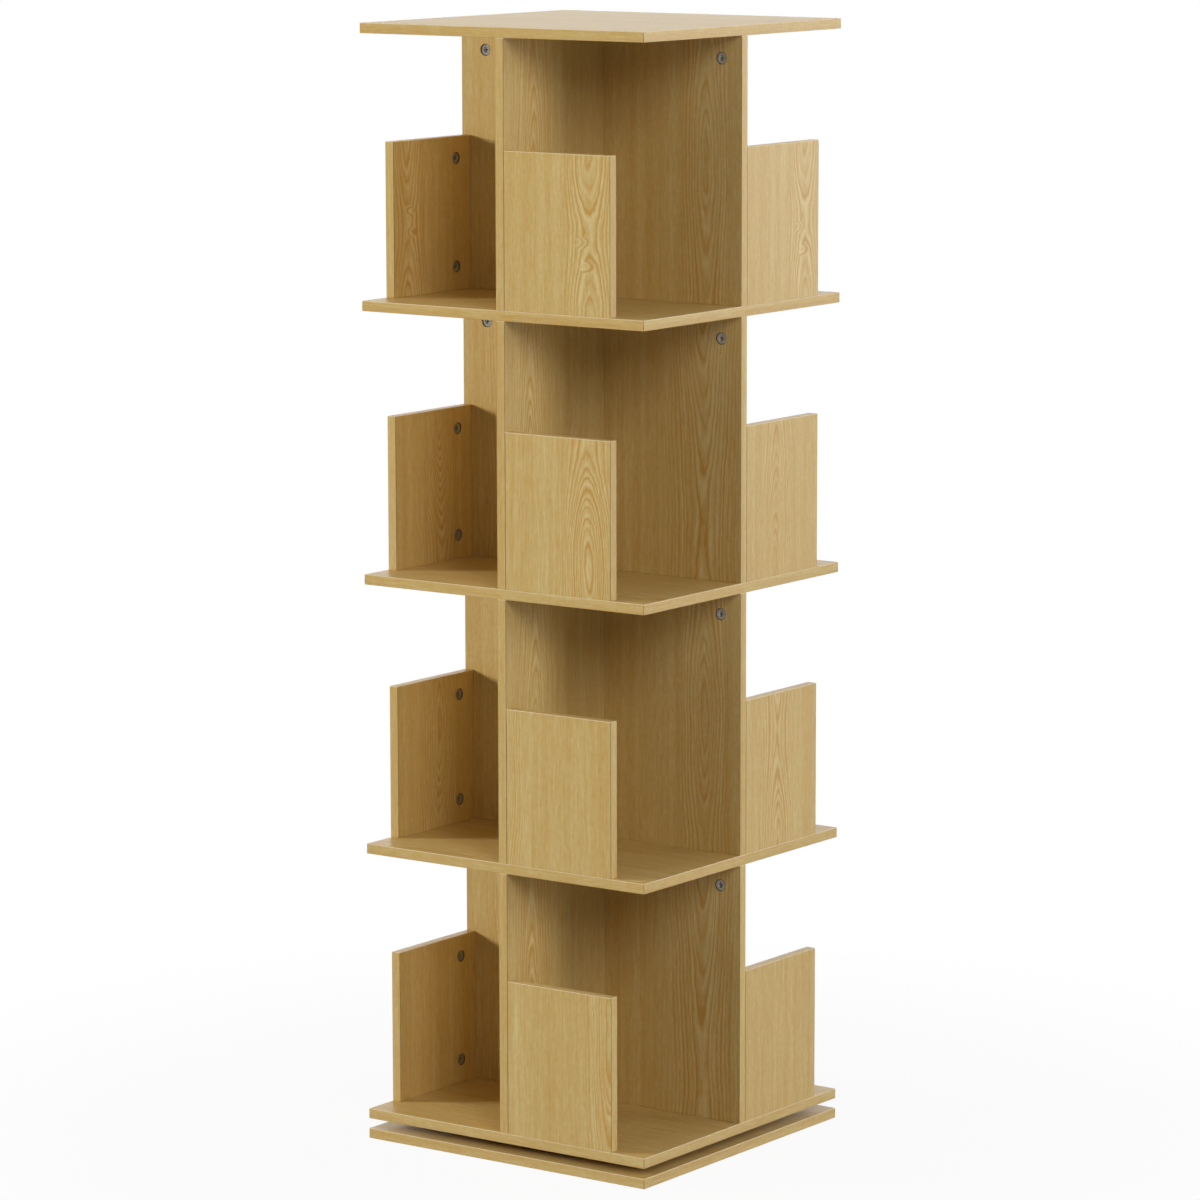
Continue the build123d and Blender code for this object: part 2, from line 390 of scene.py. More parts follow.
@dataclass(frozen=True)
class Laminate:
    """Printed ash laminate with a satin skin, matching edge bands, a raw chipboard core and a
    painted highlight along its upper level arrises.

    Lengths are in mm. The print's lines and glows start and end at shares of a growth ring.
    """

    late_wood: Colour = srgb(190, 147, 75)
    mid_wood: Colour = srgb(197, 167, 104)
    early_wood: Colour = srgb(212, 191, 134)
    hairline: Colour = srgb(120, 92, 55)
    hairline_share: float = 0.6
    # Painted highlight: a cream colour laid along the upper level arrises, standing for light
    # caught by their rounded top edges.
    painted_highlight: Colour = srgb(240, 222, 184)
    painted_highlight_share: float = 0.65
    core_light: Colour = srgb(196, 168, 122)
    core_dark: Colour = srgb(120, 90, 58)
    skin: float = 0.62
    highlight_band: float = 0.75
    chip: float = 1.6
    roughness: float = 0.42
    relief: float = 0.03 * MM
    ring: float = 5.4
    drift: float = 9.0
    ripple: float = 1.8
    kink: float = 3.2
    knot_width: float = 10.0
    knot_height: float = 7.0
    knot_pull: float = 5.0
    line_start: Pair = (0.34, 0.58)
    line_end: Pair = (0.6, 0.76)
    glow_start: Pair = (0.74, 0.95)
    glow_end: Pair = (0.0, 0.3)

    def make(self, board: Piece, grain: Grain, figure: Figure) -> Material:
        """Make the finish of one board.

        Args:
            board: The board, whose box places the edge bands.
            grain: How the board lies.
            figure: Its cathedral figure.

        Returns:
            The material.
        """
        bench = Bench(bpy.data.materials.new(f"laminate_{board.name}"))
        spot = [part / MM for part in bench.place()]
        facing = bench.place("Normal")
        flat = 0.7
        on_face = abs(facing[grain.thickness.value]) > flat
        on_end = abs(facing[grain.along.value]) > flat
        along = on_end.pick(spot[grain.across.value], spot[grain.along.value])
        across = on_face.pick(spot[grain.across.value], spot[grain.thickness.value])
        tone = self._tone(bench, along, across, on_face, figure)
        woods = self.late_wood, self.mid_wood, self.early_wood
        wood = bench.ramp(tone, list(zip((0.0, 0.5, 1.0), woods)))
        low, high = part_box(board.name)
        middle, half = (low + high) / 2 / MM, (high - low) / 2 / MM
        inset = [half[i] - abs(spot[i] - middle[i]) for i in range(3)]
        upright_arris = (inset[0] < self.skin) * (inset[1] < self.skin)
        wood = bench.mix(upright_arris * self.hairline_share, wood, self.hairline)
        # Painted highlight: a speckled cream line on the upper level arrises only, where light from
        # above catches the rounded edges.
        level_arris = (inset[0].least(inset[1]) < self.highlight_band) * (inset[2] < self.highlight_band)
        highlight_speckle = bench.noise(spot[0] / 5, spot[1] / 5, spot[2], 2.0).ease(-0.4, 0.05)
        painted_highlight_mask = level_arris * (spot[2] > middle.z) * highlight_speckle * self.painted_highlight_share
        wood = bench.mix(painted_highlight_mask, wood, self.painted_highlight)
        inside = inset[0].least(inset[1]).least(inset[2]) > self.skin
        chips = bench.noise(*(part / self.chip for part in spot), 3.0)
        core = bench.ramp(chips + 0.5, [(0.35, self.core_dark), (0.62, self.core_light)])
        pores = bench.noise(across / 0.5, along / 7, figure.seed + 9.1)
        return bench.coat(
            Base_Color=bench.mix(inside, wood, core),
            Roughness=self.roughness + pores * 0.12 + inside * 0.4,
            Normal=bench.bump(pores.ease(-0.25, 0.1) + inside * chips * 4, self.relief, 0.35),
            Specular_IOR_Level=0.3,
        )

    def _tone(self, bench: Bench, along: Wire, across: Wire, on_face: Wire, figure: Figure) -> Wire:
        """How light the print is, from 0 in the late wood's lines to 1.

        Args:
            bench: The material's nodes.
            along: Place along the grain in mm.
            across: Place across the grain in mm.
            on_face: 1 on the board's two faces.
            figure: The board's cathedral figure.

        Returns:
            The tone.
        """
        seed = figure.seed

        def waves(width: float, length: float, sheet: float = 0.0, detail: float = 1.0) -> Wire:
            """Noise with waves of a width and a length, from a sheet of its own."""
            return bench.noise(across / width, along / length, seed + sheet, detail)

        drift = waves(70, 110) * self.drift
        ripple = waves(14, 9, 3.3) * (self.ripple * figure.wild)
        kinks = waves(9, 26, 1.7) * (self.kink * figure.wild)
        half = figure.repeat / 2
        beside = (across - figure.centre + drift + ripple).wrapped(-half, half)
        angle = (along - figure.crest) * (2 * math.pi / figure.period)
        rise = (1 + angle.cosine()) * (figure.rise / 2)
        distance = (beside * beside + figure.tip * figure.tip).root()
        waist = 1 + beside * beside / (figure.waist * figure.waist)
        field = distance - (rise + kinks) / waist
        for side, height in figure.knots:
            aside = (across - side + kinks * 1.6) / self.knot_width
            above = (along - height + ripple * 2 + kinks) / self.knot_height
            field = field + (1 - (aside * aside + above * above)).most(0) * self.knot_pull
        rings = field / self.ring + bench.noise(field / 9, seed, along / 260) * 1.3
        share = rings.fraction()
        line = share.ease(*self.line_start) * (1 - share.ease(*self.line_end))
        glow = share.ease(*self.glow_start) + 1 - share.ease(*self.glow_end)
        strength = bench.lot(rings.floor() + seed) * 0.85 + 0.15
        near, far = figure.width * 0.7, figure.width * 1.7
        reach = (1 - abs(beside).ease(near, far)) * on_face * figure.strength
        streaks, bands = waves(3.4, 170, 5.7, 2.0), waves(12, 800, 7.9)
        fleck, fibre = waves(4, 7, 8.8), waves(1.3, 26, 6.6, 2.0)
        plain = 0.5 + bands * 0.6 + streaks * (0.45 - reach * 0.2) + fleck * 0.4 + fibre * 0.9
        return plain + reach * (glow * (strength * 0.26 + 0.08) - line * (strength * 0.54 + 0.16))


@dataclass(frozen=True)
class Metal:
    """A plated or bright metal with a fine uneven polish."""

    name: str
    tint: Colour
    roughness: float
    mottle: float = 0.06
    grain: float = 0.6 * MM
    cloud: float = 6.0
    dulling: float = 0.72
    metallic: float = 1.0

    def make(self) -> Material:
        """Make the finish."""
        bench = Bench(bpy.data.materials.new(self.name))
        spot = [part / self.grain for part in bench.place()]
        cloud = bench.noise(*(part / self.cloud for part in spot), 2.0)
        speck = bench.noise(*spot, 2.0)
        dull = tuple(level * self.dulling for level in self.tint[:3]) + (1.0,)
        colour = bench.mix((cloud + speck * 0.5).ease(-0.3, 0.35), dull, self.tint)
        return bench.coat(
            Base_Color=colour,
            Metallic=self.metallic,
            Roughness=self.roughness + cloud * self.mottle * 2 + speck * self.mottle,
            Normal=bench.bump(speck, 0.02 * MM, 0.2),
        )


@dataclass(frozen=True)
class PocketShadeRing:
    """Dark ring round a drilled pocket, dark partly as the pocket's bare chipboard edge and partly
    as painted shade of the gap round the sunk cam.
    """

    name: str = "pocket_shade_ring"
    gap_shade_dark: Colour = srgb(84, 64, 40)
    brown: Colour = srgb(126, 97, 58)
    grain: float = 0.8 * MM

    def make(self) -> Material:
        """Make the finish."""
        bench = Bench(bpy.data.materials.new(self.name))
        mottle = bench.noise(*(part / self.grain for part in bench.place()), 2.0)
        return bench.coat(
            Base_Color=bench.mix(mottle.ease(-0.3, 0.3), self.gap_shade_dark, self.brown),
            Roughness=0.75 + mottle * 0.2,
            Normal=bench.bump(mottle, 0.05 * MM, 0.4),
        )


@dataclass(frozen=True)
class Nylon:
    """Milky moulded nylon with faint flow marks."""

    name: str = "cage_nylon"
    tint: Colour = srgb(226, 222, 208)
    shade: Colour = srgb(205, 199, 182)

    def make(self) -> Material:
        """Make the finish."""
        bench = Bench(bpy.data.materials.new(self.name))
        spot = [part / MM for part in bench.place()]
        flow = bench.noise(spot[0] / 9, spot[1] / 9, spot[2], 3.0)
        fine = bench.noise(*(part * 2 for part in spot))
        return bench.coat(
            Base_Color=bench.mix(flow.ease(-0.3, 0.3), self.shade, self.tint),
            Roughness=0.5 + flow * 0.15,
            Normal=bench.bump(fine, 0.02 * MM, 0.3),
        )


# Mesh work


class Maker:
    """Collects the solids of one piece in a bmesh and turns them into an object."""

    def __init__(self) -> None:
        """Start with nothing made; new faces take the first finish."""
        self.mesh = bmesh.new()
        self.coat = 0

    def ring(self, radius: float, height: float, sides: int, place: Matrix) -> Points:
        """Add the points of a circle.

        Args:
            radius: Its radius; 0 gives one point.
            height: Its height along the axis.
            sides: How many points.
            place: Where the axis stands.

        Returns:
            The points in order.
        """
        count = sides if radius > 0 else 1
        angles = [2 * math.pi * i / sides for i in range(count)]
        spots = [Vector((radius * math.cos(a), radius * math.sin(a), height)) for a in angles]
        return [self.mesh.verts.new(place @ spot) for spot in spots]

    def band(self, first: Points, second: Points) -> None:
        """Join two rings, or a ring and a point, with faces.

        Args:
            first: The ring that the faces start from.
            second: The ring that they end at.
        """
        sides = max(len(first), len(second))
        for i in range(sides):
            corners = [first[i % len(first)], first[(i + 1) % len(first)]]
            corners += [second[(i + 1) % len(second)], second[i % len(second)]]
            self.mesh.faces.new(list(dict.fromkeys(corners))).material_index = self.coat

    def lathe(self, profile: Profile, sides: int, place: Matrix, closed: bool = False) -> Points:
        """Turn a profile about an axis.

        Args:
            profile: Radius and height of each ring, in order.
            sides: Sides of the turned shape.
            place: Where the axis stands.
            closed: Whether the last ring joins the first, as on a ring.

        Returns:
            The last ring's points.
        """
        rings = [self.ring(radius, height, sides, place) for radius, height in profile]
        rings += rings[:1] if closed else []
        for first, second in zip(rings, rings[1:]):
            self.band(first, second)
        return rings[-1]

    def cross_recess(
        self, rim: Points, height: float, reach: float, width: float, depth: float, place: Matrix
    ) -> None:
        """Close a round face with a tapered cross recess in its middle.

        Args:
            rim: The points of the face's outer edge.
            height: The face's height along the axis.
            reach: From the axis to an arm's end.
            width: An arm's width.
            depth: The recess's depth.
            place: Where the axis stands.
        """
        deeper, shorter, thinner = 0.7, 0.62, 0.8
        mouth = self._cross(height, reach, width, place)
        waist = self._cross(height - depth * deeper, reach * shorter, width * thinner, place)
        tip = [self.mesh.verts.new(place @ Vector((0, 0, height - depth)))]
        pairs = [(loop[i - 1], loop[i]) for loop in (rim, mouth) for i in range(len(loop))]
        edges = [self._edge(start, end) for start, end in pairs]
        bmesh.ops.triangle_fill(self.mesh, use_beauty=True, edges=edges)
        self.band(mouth, waist)
        self.band(waist, tip)

    def _edge(self, start: bmesh.types.BMVert, end: bmesh.types.BMVert) -> bmesh.types.BMEdge:
        """The edge between two points, made if it is missing."""
        return self.mesh.edges.get((start, end)) or self.mesh.edges.new((start, end))

    def _cross(self, height: float, reach: float, width: float, place: Matrix) -> Points:
        """Add the twelve corners of a cross.

        Args:
            height: Its height along the axis.
            reach: From the axis to an arm's end.
            width: An arm's width.
            place: Where the axis stands.

        Returns:
            The corners in order.
        """
        half = width / 2
        arm = [Vector((x, y, height)) for x, y in ((reach, -half), (reach, half), (half, half))]
        turns = [Matrix.Rotation(i * QUARTER_TURN, 4, "Z") for i in range(4)]
        return [self.mesh.verts.new(place @ turn @ corner) for turn in turns for corner in arm]

    def prism(self, outline: Profile, bottom: float, top: float, place: Matrix) -> None:
        """Add a small prism.

        Args:
            outline: Its corners, anticlockwise.
            bottom: Height of its foot.
            top: Height of its top.
            place: Where it stands.
        """
        low = [self.mesh.verts.new(place @ Vector((x, y, bottom))) for x, y in outline]
        high = [self.mesh.verts.new(place @ Vector((x, y, top))) for x, y in outline]
        self.band(low, high)
        self.mesh.faces.new(low[::-1])
        self.mesh.faces.new(high)

    def finish(self, name: str, *coats: Material) -> Piece:
        """Make the object, with sharp edges where its faces turn by more than the crease.

        Args:
            name: The piece's name.
            coats: Its finishes, in the order of the faces' numbers.

        Returns:
            The object, in the scene.
        """
        bmesh.ops.recalc_face_normals(self.mesh, faces=self.mesh.faces[:])
        mesh = bpy.data.meshes.new(name)
        self.mesh.to_mesh(mesh)
        self.mesh.free()
        mesh.shade_smooth()
        mesh.set_sharp_from_angle(angle=CREASE)
        for coat in coats:
            mesh.materials.append(coat)
        piece = bpy.data.objects.new(name, mesh)
        bpy.context.scene.collection.objects.link(piece)
        return piece


def stand(origin: Vector, up: Vector, side: Vector) -> Matrix:
    """The place of a fitting.

    Args:
        origin: Its foot.
        up: The direction of its axis.
        side: The direction of its own X, square to the axis.

    Returns:
        The matrix that takes its own frame there.
    """
    across = up.cross(side)
    return Matrix.Translation(origin) @ Matrix((side, across, up)).transposed().to_4x4()


def arc(radius: float, angles: Sequence[float], height: float = 0.0) -> list[Pair]:
    """Points of a round profile at angles in radians, measured up from the level."""
    return [(radius * math.cos(angle), height + radius * math.sin(angle)) for angle in angles]


def bearing(turn: float, tilt: float) -> Vector:
    """The direction at an angle round the vertical and one above the level, in radians."""
    level = math.cos(tilt)
    return Vector((level * math.cos(turn), level * math.sin(turn), math.sin(tilt)))


def around(place: Matrix, turns: int) -> Matrix:
    """A place turned about the bookcase's axis by quarter turns."""
    return Matrix.Rotation(turns * QUARTER_TURN, 4, "Z") @ place


def add_piece(maker: Maker, node: str, body: Body, slot: Slot, *coats: Material) -> None:
    """Finish a piece that stands for a node of the frame.

    Args:
        maker: Its mesh.
        node: The node.
        body: What it turns with.
        slot: Where its finish belongs; not used.
        coats: Its finishes.
    """
    piece = maker.finish(f"{node}_detailed", *coats)
    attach(piece, body.value)
    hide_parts(node)
    log.info("%s: %d faces, turns with %s", piece.name, len(piece.data.polygons), body.value)


# Fittings


@dataclass(frozen=True)
class Cam:
    """Cam disc sunk in its pocket, with an arrow and a cross recess, and a dark ring round the
    pocket that paints the gap's shade.
    """

    radius: float = 6.55 * MM
    face: float = -1.0 * MM
    depth: float = 9.4 * MM
    rim_inner: float = 6.82 * MM
    rim_outer: float = 7.15 * MM
    rim_height: float = 0.06 * MM
    dish_radius: float = 3.5 * MM
    dish_depth: float = 0.6 * MM
    recess_reach: float = 2.7 * MM
    recess_width: float = 1.5 * MM
    recess_depth: float = 3.6 * MM
    arrow_half: float = 0.9 * MM
    sides: int = 48

    def add(self, maker: Maker, place: Matrix) -> None:
        """Add one cam.

        Args:
            maker: The group's mesh, whose second finish is the rim's.
            place: The board's face at the cam's axis, +Z outward and +X towards the bolt.
        """
        step = 0.1 * MM
        floor = self.face - self.dish_depth
        profile = [
            (0.0, -self.depth),
            (self.radius - 3 * step, -self.depth),
            (self.radius, -self.depth + 3 * step),
            (self.radius, self.face - 2 * step),
            (self.radius - 2 * step, self.face),
            (self.dish_radius, self.face),
            (self.dish_radius - 7 * step, floor),
            (self.recess_reach + step, floor),
        ]
        mouth = maker.lathe(profile, self.sides, place)
        recess = self.recess_reach, self.recess_width, self.recess_depth
        maker.cross_recess(mouth, floor, *recess, place)
        near, far = self.dish_radius + 4 * step, self.radius - 6 * step
        arrow = [(near, -self.arrow_half), (far, 0.0), (near, self.arrow_half)]
        maker.prism(arrow, self.face - step, self.face + 1.5 * step, place)
        # The ring's finish is partly the pocket's bare chipboard edge and partly painted shade of
        # the gap round the sunk cam.
        rim = [
            (self.rim_inner, self.face - 10 * step),
            (self.rim_inner, self.rim_height / 2),
            (self.rim_inner + 0.5 * step, self.rim_height),
            (self.rim_outer - step, self.rim_height),
            (self.rim_outer, 0.0),
            (self.rim_inner + 0.3 * step, 0.0),
            (self.rim_inner + 0.3 * step, self.face - 10 * step),
        ]
        maker.coat = 1
        maker.lathe(rim, self.sides, place, closed=True)
        maker.coat = 0


@dataclass(frozen=True)
class Thread:
    """A rolled thread, drawn as its ridges."""

    radius: float
    root: float
    pitch: float

    def rings(self, start: float, end: float) -> list[Pair]:
        """The thread's ridges and roots.

        Args:
            start: Height of the first root.
            end: Height near which the last root stands.

        Returns:
            Radius and height of each ring.
        """
        count = int((end - start) / self.pitch)
        rings = []
        for i in range(count):
            foot = start + i * self.pitch
            rings += [(self.root, foot), (self.radius, foot + self.pitch * 0.5)]
        return rings + [(self.root, start + count * self.pitch)]


@dataclass(frozen=True)
class CamBolt:
    """Bolt that a cam draws in: a coarse thread, a collar, a shank, a neck and a round head.

    The neck's places count back from the head's middle; the head's angles are in degrees.
    """

    anchor: float = 9.0 * MM
    thread: Thread = Thread(2.9 * MM, 2.2 * MM, 1.5 * MM)
    tip: Pair = (1.2 * MM, 0.9 * MM)
    collar_radius: float = 2.7 * MM
    collar_length: float = 1.2 * MM
    shank_radius: float = 2.3 * MM
    neck_radius: float = 1.6 * MM
    neck: tuple[float, float, float] = (4.2 * MM, 3.6 * MM, 2.0 * MM)
    head_radius: float = 2.6 * MM
    head_angles: tuple[float, ...] = (-35, 0, 30, 60)
    sides: int = 20

    def add(self, maker: Maker, place: Matrix, length: float) -> None:
        """Add one bolt.

        Args:
            maker: The group's mesh.
            place: The bolt's screwed-in end, +Z along it.
            length: Its whole length.
        """
        head = length - self.head_radius
        radius, start = self.tip
        chamfer = 0.1 * MM
        shoulder, waist_start, waist_end = (head - drop for drop in self.neck)
        profile = [(0.0, 0.0), (radius, 0.0), *self.thread.rings(start, self.anchor)]
        profile += [
            (self.collar_radius, self.anchor),
            (self.collar_radius, self.anchor + self.collar_length),
            (self.shank_radius, self.anchor + self.collar_length + chamfer),
            (self.shank_radius, shoulder),
            (self.neck_radius, waist_start),
            (self.neck_radius, waist_end),
        ]
        profile += arc(self.head_radius, [math.radians(angle) for angle in self.head_angles], head)
        profile += [(0.0, length)]
        maker.lathe(profile, self.sides, place)


@dataclass(frozen=True)
class Screw:
    """Steel screw with a cross recess; the head's profile is given from its shank to its face."""

    length: float
    head: Profile
    recess_reach: float
    recess_width: float = 0.9 * MM
    recess_depth: float = 1.7 * MM
    point: Pair = (0.7 * MM, 1.6 * MM)
    thread: Thread = Thread(1.95 * MM, 1.4 * MM, 1.4 * MM)
    thread_ends: Pair = (2.0 * MM, 0.8 * MM)
    sides: int = 24

    def add(self, maker: Maker, place: Matrix) -> None:
        """Add one screw.

        Args:
            maker: The group's mesh.
            place: Where the head's profile has height 0, +Z from the tip to the head.
        """
        tip = -self.length
        radius, taper = self.point
        low, high = self.thread_ends
        profile = [(0.0, tip), (radius, tip + taper)]
        profile += self.thread.rings(tip + low, self.head[0][1] - high)
        profile += self.head
        rim = maker.lathe(profile, self.sides, place)
        recess = self.recess_reach, self.recess_width, self.recess_depth
        maker.cross_recess(rim, self.head[-1][1], *recess, place)


# Boards


@dataclass(frozen=True)
class Edging:
    """Small rounding of a board's arrises."""

    radius: float = 0.5 * MM
    steps: int = 2
    corner: float = 50.0
    joint: float = 0.001 * MM

    def soften(self, piece: Piece) -> None:
        """Round the arrises of a node, whose own mesh stays as it is.

        Args:
            piece: The node.
        """
        weld = piece.modifiers.new("joined_faces", "WELD")
        weld.merge_threshold = self.joint
        bevel = piece.modifiers.new("rounded_arrises", "BEVEL")
        bevel.width = self.radius
        bevel.segments = self.steps
        bevel.limit_method = "ANGLE"
        bevel.angle_limit = math.radians(self.corner)
        bevel.use_clamp_overlap = False
        bevel.harden_normals = False
        evened = piece.modifiers.new("even_normals", "WEIGHTED_NORMAL")
        evened.keep_sharp = False


def cover(piece: Piece, material: Material) -> None:
    """Give a node one finish.

    Args:
        piece: The node.
        material: The finish.
    """
    piece.data.materials.clear()
    piece.data.materials.append(material)
    log.info("%s: %s", piece.name, material.name)


@dataclass
class Joinery:
    """Dresses the boards of the bookcase."""

    laminate: Laminate = Laminate()
    edging: Edging = Edging()

    def dress(self, node: str, grain: Grain, figure: Figure) -> None:
        """Give a board its finish and rounded arrises.

        Args:
            node: The board's node.
            grain: How it lies.
            figure: Its cathedral figure.
        """
        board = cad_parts[node]
        cover(board, self.laminate.make(board, grain, figure))
        self.edging.soften(board)


# Sub-assemblies


FLAT = Grain(thickness=Axis.Z, along=Axis.X, across=Axis.Y)
ACROSS = Grain(thickness=Axis.Y, along=Axis.Z, across=Axis.X)
DEEP = Grain(thickness=Axis.X, along=Axis.Z, across=Axis.Y)


@dataclass
class Turntable:
    """Ball bearing between the base board and the tower, with the base board itself."""

    joinery: Joinery
    race_radius: float = 60.0 * MM
    ball_radius: float = 2.45 * MM
    ball_count: int = 16
    screw_offset: float = 90.0 * MM
    plate: float = 2.0 * MM
    plate_steel: Metal = Metal("turntable_steel", srgb(190, 191, 192), 0.38)
    ball_steel: Metal = Metal("ball_steel", srgb(214, 215, 218), 0.14, 0.03)
    screw_steel: Metal = Metal("plate_screw_steel", srgb(198, 198, 194), 0.3)
    screw: Screw = Screw(
        length=11.0 * MM,
        head=(
            (1.95 * MM, -0.2 * MM),
            (1.95 * MM, 0.0),
            (3.9 * MM, 0.0),
            (4.0 * MM, 0.3 * MM),
            (3.9 * MM, 1.1 * MM),
            (3.5 * MM, 1.8 * MM),
            (2.8 * MM, 2.25 * MM),
            (2.2 * MM, 2.4 * MM),
        ),
        recess_reach=1.9 * MM,
    )

    def build(self) -> None:
        """Dress the base, the plates and the cage, and make the balls and screws."""
        figure = Figure(centre=-60, crest=120, period=700, rise=30, seed=2.1, strength=0.8)
        self.joinery.dress("base_board", FLAT, figure)
        for node in ("turntable_lower_plate", "turntable_upper_plate"):
            cover(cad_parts[node], self.plate_steel.make())
        cover(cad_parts["turntable_ball_cage"], Nylon().make())
        self._build_balls()
        lower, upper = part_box("turntable_lower_plate"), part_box("turntable_upper_plate")
        self._build_screws("turntable_lower_screws", lower[0].z + self.plate, 1, Body.BASE)
        self._build_screws("turntable_upper_screws", upper[1].z - self.plate, -1, Body.TOWER)

    def _build_balls(self) -> None:
        """Make the ring of balls."""
        low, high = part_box("turntable_balls")
        maker = Maker()
        rings, radius = 12, self.ball_radius
        angles = [math.pi * i / rings - math.pi / 2 for i in range(1, rings)]
        profile = [(0.0, -radius), *arc(radius, angles), (0.0, radius)]
        for i in range(self.ball_count):
            angle = 2 * math.pi * i / self.ball_count
            x, y = self.race_radius * math.cos(angle), self.race_radius * math.sin(angle)
            maker.lathe(profile, 2 * rings, Matrix.Translation((x, y, (low.z + high.z) / 2)))
        add_piece(maker, "turntable_balls", Body.CAGE, Slot.BALL, self.ball_steel.make())

    def _build_screws(self, node: str, height: float, up: int, body: Body) -> None:
        """Make the four screws of one plate.

        Args:
            node: Their node.
            height: Height of the plate's inner face, under the heads.
            up: 1 where the heads stand up, -1 where they hang down.
            body: What they turn with.
        """
        maker = Maker()
        for turns in range(4):
            corner = Vector((self.screw_offset, self.screw_offset, height))
            place = stand(corner, Vector((0, 0, up)), Vector((1, 0, 0)))
            self.screw.add(maker, around(place, turns))
        add_piece(maker, node, body, Slot.SCREW, self.screw_steel.make())


@dataclass(frozen=True)
class TierFigures:
    """The cathedral figures of one tier's upright boards."""

    front: Figure
    right: Figure
    back: Figure
    left: Figure
    across: Figure
    deep: Figure


@dataclass
class Tier:
    """One storey: its shelf, two crossing dividers, four side panels and their fittings."""

    number: int
    figures: TierFigures
    joinery: Joinery
    cam: Cam = Cam()
    bolt: CamBolt = CamBolt()
    zinc: Metal = Metal("cam_zinc", srgb(162, 158, 147), 0.38, metallic=0.4)
    pocket_shade: PocketShadeRing = PocketShadeRing()
    bolt_steel: Metal = Metal("bolt_steel", srgb(196, 190, 170), 0.3)
    screw_steel: Metal = Metal("screw_steel", srgb(196, 192, 178), 0.32)
    half_board: float = 6.0 * MM
    half_side: float = 200.0 * MM
    clear_height: float = 309.0 * MM
    panel_cam_reach: float = 28.0 * MM
    panel_cam_heights: Pair = (28.0 * MM, 156.0 * MM)
    divider_cam_reach: float = 26.4 * MM
    divider_cam_places: Pair = (172.0 * MM, -165.0 * MM)
    divider_turns: tuple[int, int] = (0, -1)
    screw_offset: float = 110.0 * MM
    cam_flat: float = 6.65 * MM
    screw: Screw = Screw(
        length=40.0 * MM,
        head=(
            (1.95 * MM, -2.6 * MM),
            (2.1 * MM, -2.3 * MM),
            (3.95 * MM, -0.2 * MM),
            (3.8 * MM, 0.0),
        ),
        recess_reach=2.3 * MM,
    )

    @property
    def floor(self) -> float:
        """Height of the shelf's upper face."""
        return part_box(self._node("shelf"))[1].z

    def build(self) -> None:
        """Dress the tier's boards and make its fittings."""
        figures, number = self.figures, self.number
        shelf = Figure(centre=35.0 * number, crest=-90, period=800, rise=34, seed=number * 3.7)
        self.joinery.dress(self._node("shelf"), FLAT, shelf)
        uprights = {
            "divider_across": (ACROSS, figures.across),
            "divider_deep": (DEEP, figures.deep),
            "side_panel_front": (ACROSS, figures.front),
            "side_panel_right": (DEEP, figures.right),
            "side_panel_back": (ACROSS, figures.back),
            "side_panel_left": (DEEP, figures.left),
        }
        for part, (grain, figure) in uprights.items():
            self.joinery.dress(self._node(part), grain, figure)
        self._build_cams()
        self._build_bolts()
        self._build_screws()

    def _node(self, part: str) -> str:
        """The name of this tier's node of a part."""
        return f"{part}_tier_{self.number}"

    def _build_cams(self) -> None:
        """Make the eight cams of the side panels and the four of the dividers."""
        coats = self.zinc.make(), self.pocket_shade.make()
        maker = Maker()
        face = -self.half_side + 2 * self.half_board
        for height in self.panel_cam_heights:
            point = Vector((self.half_board + self.panel_cam_reach, face, self.floor + height))
            place = stand(point, Vector((0, 1, 0)), Vector((-1, 0, 0)))
            for turns in range(4):
                self.cam.add(maker, around(place, turns))
        add_piece(maker, self._node("panel_cams"), Body.TOWER, Slot.CAM, *coats)
        maker = Maker()
        for reach in self.divider_cam_places:
            height = self.floor + self.clear_height - self.divider_cam_reach
            point = Vector((reach, -self.half_board, height))
            place = stand(point, Vector((0, -1, 0)), Vector((0, 0, 1)))
            for turns in self.divider_turns:
                self.cam.add(maker, around(place, turns))
        add_piece(maker, self._node("divider_cams"), Body.TOWER, Slot.CAM, *coats)

    def _build_bolts(self) -> None:
        """Make the bolts that the cams draw in."""
        steel = self.bolt_steel.make()
        maker = Maker()
        length = self.bolt.anchor + self.panel_cam_reach - self.cam_flat
        for height in self.panel_cam_heights:
            x, y = self.half_board - self.bolt.anchor, self.half_board - self.half_side
            start = Vector((x, y, self.floor + height))
            place = stand(start, Vector((1, 0, 0)), Vector((0, 0, 1)))
            for turns in range(4):
                self.bolt.add(maker, around(place, turns), length)
        add_piece(maker, self._node("panel_cam_bolts"), Body.TOWER, Slot.BOLT, steel)
        maker = Maker()
        length = self.bolt.anchor + self.divider_cam_reach - self.cam_flat
        for reach in self.divider_cam_places:
            start = Vector((reach, 0, self.floor + self.clear_height + self.bolt.anchor))
            place = stand(start, Vector((0, 0, -1)), Vector((1, 0, 0)))
            for turns in self.divider_turns:
                self.bolt.add(maker, around(place, turns), length)
        add_piece(maker, self._node("divider_cam_bolts"), Body.TOWER, Slot.BOLT, steel)

    def _build_screws(self) -> None:
        """Make the screws that hold the dividers from under the shelf."""
        maker = Maker()
        head = Vector((self.screw_offset, 0, self.floor - 2 * self.half_board))
        place = stand(head, Vector((0, 0, -1)), Vector((1, 0, 0)))
        for turns in range(4):
            self.screw.add(maker, around(place, turns))
        steel = self.screw_steel.make()
        add_piece(maker, self._node("shelf_screws"), Body.TOWER, Slot.SCREW, steel)


@dataclass
class TopBoard:
    """The board over the highest tier."""

    joinery: Joinery

    def build(self) -> None:
        """Dress the board."""
        figure = Figure(centre=70, crest=60, period=760, rise=30, seed=8.4, strength=0.8)
        self.joinery.dress("top_board", FLAT, figure)


# Studio


